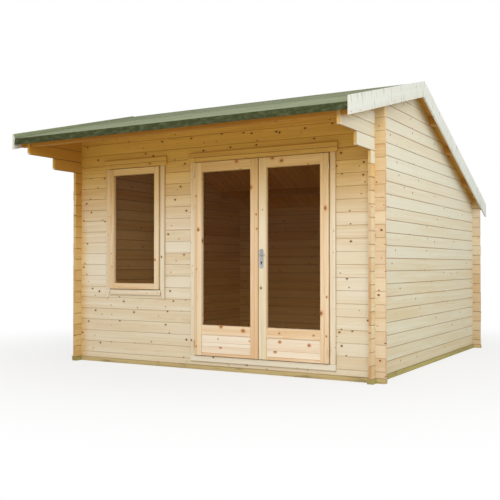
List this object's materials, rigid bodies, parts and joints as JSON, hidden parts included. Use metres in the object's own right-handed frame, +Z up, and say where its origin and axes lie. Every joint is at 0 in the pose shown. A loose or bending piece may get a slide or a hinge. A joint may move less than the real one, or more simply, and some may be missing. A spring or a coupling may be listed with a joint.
{
  "type": "log cabin",
  "caption": "Small log cabin of notched interlocking logs with an offset felted pitched roof, porch overhang, glazed double doors and a tall window.",
  "frame": {"origin": "on the ground at the centre of the square formed by the walls' outer faces, on the underside of the middle floor joist", "axes": "+X to the right as seen from the door side, +Y from the door side to the back, +Z up"},
  "size_m": [3.65, 4.45, 2.845],
  "materials": {
    "board_pale": "satin",
    "clear_glass": "gloss",
    "door_pine": "satin",
    "floor_pine": "matte",
    "green_felt": "matte",
    "handle_steel": "satin",
    "hinge_steel": "satin",
    "roof_pine": "matte",
    "treated_bearer": "matte",
    "trim_pine": "satin",
    "wall_pine": "satin"
  },
  "bodies": {
    "cabin": {"back_logs_a": "wall_pine", "back_logs_b": "wall_pine", "bargeboards_back": "board_pale", "bargeboards_front": "board_pale", "cross_bearers": "treated_bearer", "door_cross_stops": "trim_pine", "door_head_and_sill": "trim_pine", "door_head_board": "trim_pine", "door_jambs": "trim_pine", "door_stops": "trim_pine", "eave_battens": "roof_pine", "felt_back": "green_felt", "felt_flaps": "green_felt", "felt_front": "green_felt", "floor": "floor_pine", "floor_joists": "treated_bearer", "front_logs_a": "wall_pine", "front_logs_b": "wall_pine", "left_logs_a": "wall_pine", "left_logs_b": "wall_pine", "purlins": "roof_pine", "right_logs_a": "wall_pine", "right_logs_b": "wall_pine", "roof_deck_back": "roof_pine", "roof_deck_front": "roof_pine", "side_bearers": "treated_bearer", "window_casing_ends": "trim_pine", "window_cross_stops": "trim_pine", "window_head_and_sill": "trim_pine", "window_head_board": "trim_pine", "window_jambs": "trim_pine", "window_pane": "clear_glass", "window_sash": "door_pine", "window_stops": "trim_pine"},
    "left_door": {"left_hinges": "hinge_steel", "left_leaf": "door_pine", "left_pane": "clear_glass", "left_panel": "door_pine"},
    "right_door": {"lock_plate": "handle_steel", "right_hinges": "hinge_steel", "right_leaf": "door_pine", "right_pane": "clear_glass", "right_panel": "door_pine"},
    "handle": {"lever": "handle_steel"}
  },
  "joints": [
    {"name": "left_door_hinge", "type": "hinge", "parent": "cabin", "child": "left_door", "pos_m": [-0.175, -1.746, 1.09], "axis": [0, 0, -1], "range_deg": [0, 110]},
    {"name": "right_door_hinge", "type": "hinge", "parent": "cabin", "child": "right_door", "pos_m": [1.278, -1.746, 1.09], "axis": [0, 0, 1], "range_deg": [0, 110]},
    {"name": "lever_turn", "type": "hinge", "parent": "right_door", "child": "handle", "pos_m": [0.587, -1.765, 1.128], "axis": [0, 1, 0], "range_deg": [0, 45], "stiffness_Nm_per_rad": 0.6, "springref_deg": -20.05}
  ]
}
